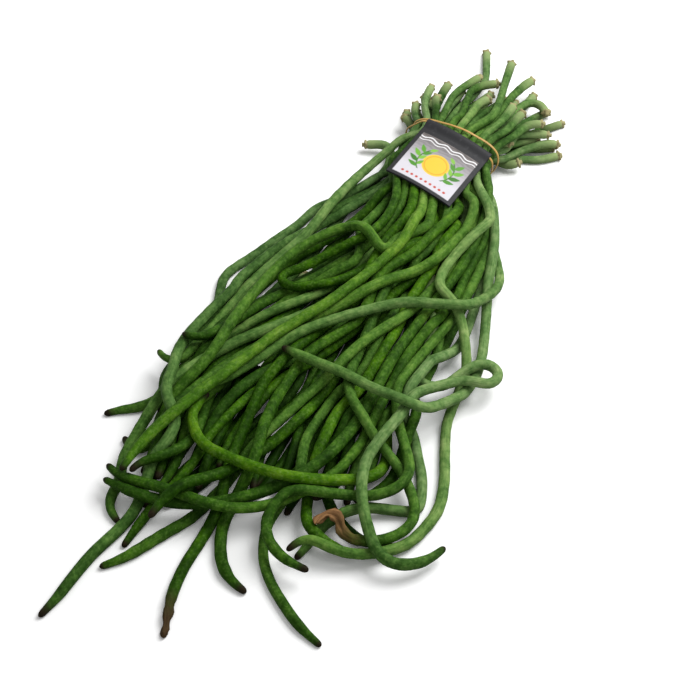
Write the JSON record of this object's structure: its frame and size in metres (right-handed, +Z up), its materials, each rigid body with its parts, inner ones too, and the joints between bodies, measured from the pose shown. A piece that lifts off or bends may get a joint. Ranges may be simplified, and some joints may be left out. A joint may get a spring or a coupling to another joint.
{
  "type": "bunch of yardlong beans",
  "caption": "Bunch of long thin green bean pods lying loose and curved, gathered near their stem ends by a thin elastic that also holds a small folded card tag.",
  "frame": {"origin": "centre of the bunch's box, on the surface that it lies on", "axes": "+Z up; +Y along the bunch, towards the stem ends; +X to the right, seen from the tips"},
  "size_m": [0.2514, 0.6348, 0.0472],
  "materials": {
    "pod_green": "matte",
    "pod_bright": "matte",
    "pod_cool": "matte",
    "elastic": "satin",
    "card": "satin"
  },
  "bodies": {
    "root": {"bean_01": "pod_bright", "bean_02": "pod_cool", "bean_03": "pod_cool", "bean_04": "pod_bright", "bean_05": "pod_green", "bean_06": "pod_bright", "bean_07": "pod_bright", "bean_08": "pod_green", "bean_09": "pod_cool", "bean_10": "pod_cool", "bean_11": "pod_cool", "bean_12": "pod_cool", "bean_13": "pod_cool", "bean_14": "pod_cool", "bean_15": "pod_green", "bean_16": "pod_green", "bean_17": "pod_green", "bean_18": "pod_green", "bean_19": "pod_bright", "bean_20": "pod_green", "bean_21": "pod_bright", "bean_22": "pod_green", "bean_23": "pod_bright", "bean_24": "pod_bright", "bean_25": "pod_green", "bean_26": "pod_green", "bean_27": "pod_bright", "bean_28": "pod_cool", "bean_29": "pod_bright", "bean_30": "pod_cool", "bean_31": "pod_cool", "bean_32": "pod_green", "bean_33": "pod_cool", "bean_34": "pod_green", "bean_35": "pod_green", "bean_36": "pod_green", "bean_37": "pod_green", "bean_38": "pod_cool", "bean_39": "pod_cool", "bean_40": "pod_cool", "bean_41": "pod_green", "bean_42": "pod_green", "bean_43": "pod_green", "bean_44": "pod_cool", "bean_45": "pod_green", "bean_46": "pod_green", "bean_47": "pod_green", "bean_48": "pod_cool", "bean_49": "pod_green", "bean_50": "pod_green", "bean_51": "pod_green", "bean_52": "pod_green", "bean_53": "pod_green", "bean_54": "pod_green", "bean_55": "pod_green", "bean_56": "pod_green", "bean_57": "pod_green", "elastic_band": "elastic", "label": "card"}
  },
  "joints": []
}
